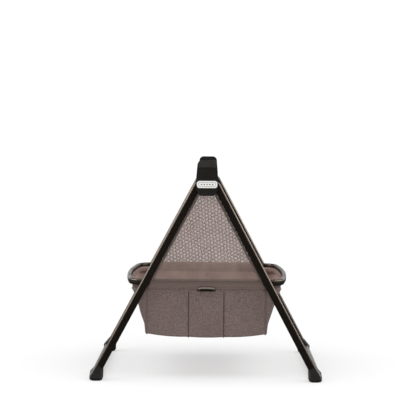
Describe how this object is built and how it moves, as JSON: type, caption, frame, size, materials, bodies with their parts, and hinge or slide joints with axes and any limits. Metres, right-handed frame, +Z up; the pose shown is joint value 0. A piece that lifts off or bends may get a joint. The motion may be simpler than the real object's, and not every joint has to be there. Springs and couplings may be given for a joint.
{
  "type": "folding carrycot stand",
  "caption": "Folding A-frame stand for a baby's carrycot, with hubs at the top, floor rails, an oval basket ring, a hanging storage bag and mesh end panels.",
  "frame": {"origin": "on the floor, midway between the four feet", "axes": "+X from the left feet to the right feet, +Y from the front hub to the rear hub, +Z up"},
  "size_m": [0.654, 0.54, 0.622],
  "materials": {
    "casing": "fine moulded grain",
    "button": "fine moulded grain",
    "badge": "satin",
    "steel": "plain",
    "tube": "satin dark bronze",
    "plug": "plain",
    "nylon": "smooth",
    "rubber": "matt",
    "bag_cloth": "melange plain weave",
    "sleeve_cloth": "plain weave",
    "webbing": "ribbed webbing",
    "mesh_cloth": "open net",
    "stud": "plain"
  },
  "bodies": {
    "hubs": {"hub_cover_front": "casing", "hub_back_front": "casing", "badge_front": "badge", "fold_pin_front": "steel", "dock_socket_front": "nylon", "button_spring_front": "steel", "mesh_panel_front": "mesh_cloth", "hub_cover_rear": "casing", "hub_back_rear": "casing", "badge_rear": "badge", "fold_pin_rear": "steel", "dock_socket_rear": "nylon", "button_spring_rear": "steel", "mesh_panel_rear": "mesh_cloth", "hub_screws": "steel"},
    "frame_left": {"knuckle_front_left": "casing", "knuckle_rear_left": "casing", "leg_front_left": "tube", "leg_rear_left": "tube", "boot_front_left": "casing", "boot_rear_left": "casing", "floor_rail_left": "tube", "foot_pads_left": "rubber", "leg_rivets_left": "steel", "ring_pivot_pins": "steel", "ring_spacers": "nylon"},
    "frame_right": {"knuckle_front_right": "casing", "knuckle_rear_right": "casing", "leg_front_right": "tube", "leg_rear_right": "tube", "boot_front_right": "casing", "boot_rear_right": "casing", "floor_rail_right": "tube", "foot_pads_right": "rubber", "leg_rivets_right": "steel", "ring_saddles": "casing", "saddle_screws": "steel"},
    "ring": {"ring_tube_left": "tube", "ring_tube_right": "tube", "ring_joiners": "plug", "sleeve_front": "sleeve_cloth", "sleeve_rear": "sleeve_cloth", "basket_bag": "bag_cloth", "pull_strap": "webbing", "snap_studs": "stud"},
    "button_front": {"release_button_front": "button"},
    "button_rear": {"release_button_rear": "button"}
  },
  "joints": [
    {"name": "fold_left", "type": "hinge", "parent": "hubs", "child": "frame_left", "pos_m": [0, 0, 0.557], "axis": [0, -1, 0], "range_deg": [0, 27], "deforming": ["mesh_panel_front", "mesh_panel_rear"]},
    {"name": "fold_right", "type": "hinge", "parent": "hubs", "child": "frame_right", "pos_m": [0, 0, 0.557], "axis": [0, 1, 0], "range_deg": [0, 27]},
    {"name": "ring_swing", "type": "hinge", "parent": "frame_left", "child": "ring", "pos_m": [-0.17221, 0, 0.277], "axis": [0, -1, 0], "range_deg": [0, 62], "deforming": ["basket_bag"]},
    {"name": "button_front_press", "type": "slide", "parent": "hubs", "child": "button_front", "axis": [0, 1, 0], "range_m": [0, 0.004], "stiffness_N_per_m": 400, "deforming": ["button_spring_front"]},
    {"name": "button_rear_press", "type": "slide", "parent": "hubs", "child": "button_rear", "axis": [0, -1, 0], "range_m": [0, 0.004], "stiffness_N_per_m": 400, "deforming": ["button_spring_rear"]}
  ],
  "couplings": [
    {"joint": "fold_right", "follows": "fold_left", "ratio": 1},
    {"joint": "ring_swing", "follows": "fold_left", "ratio": 2.296}
  ]
}
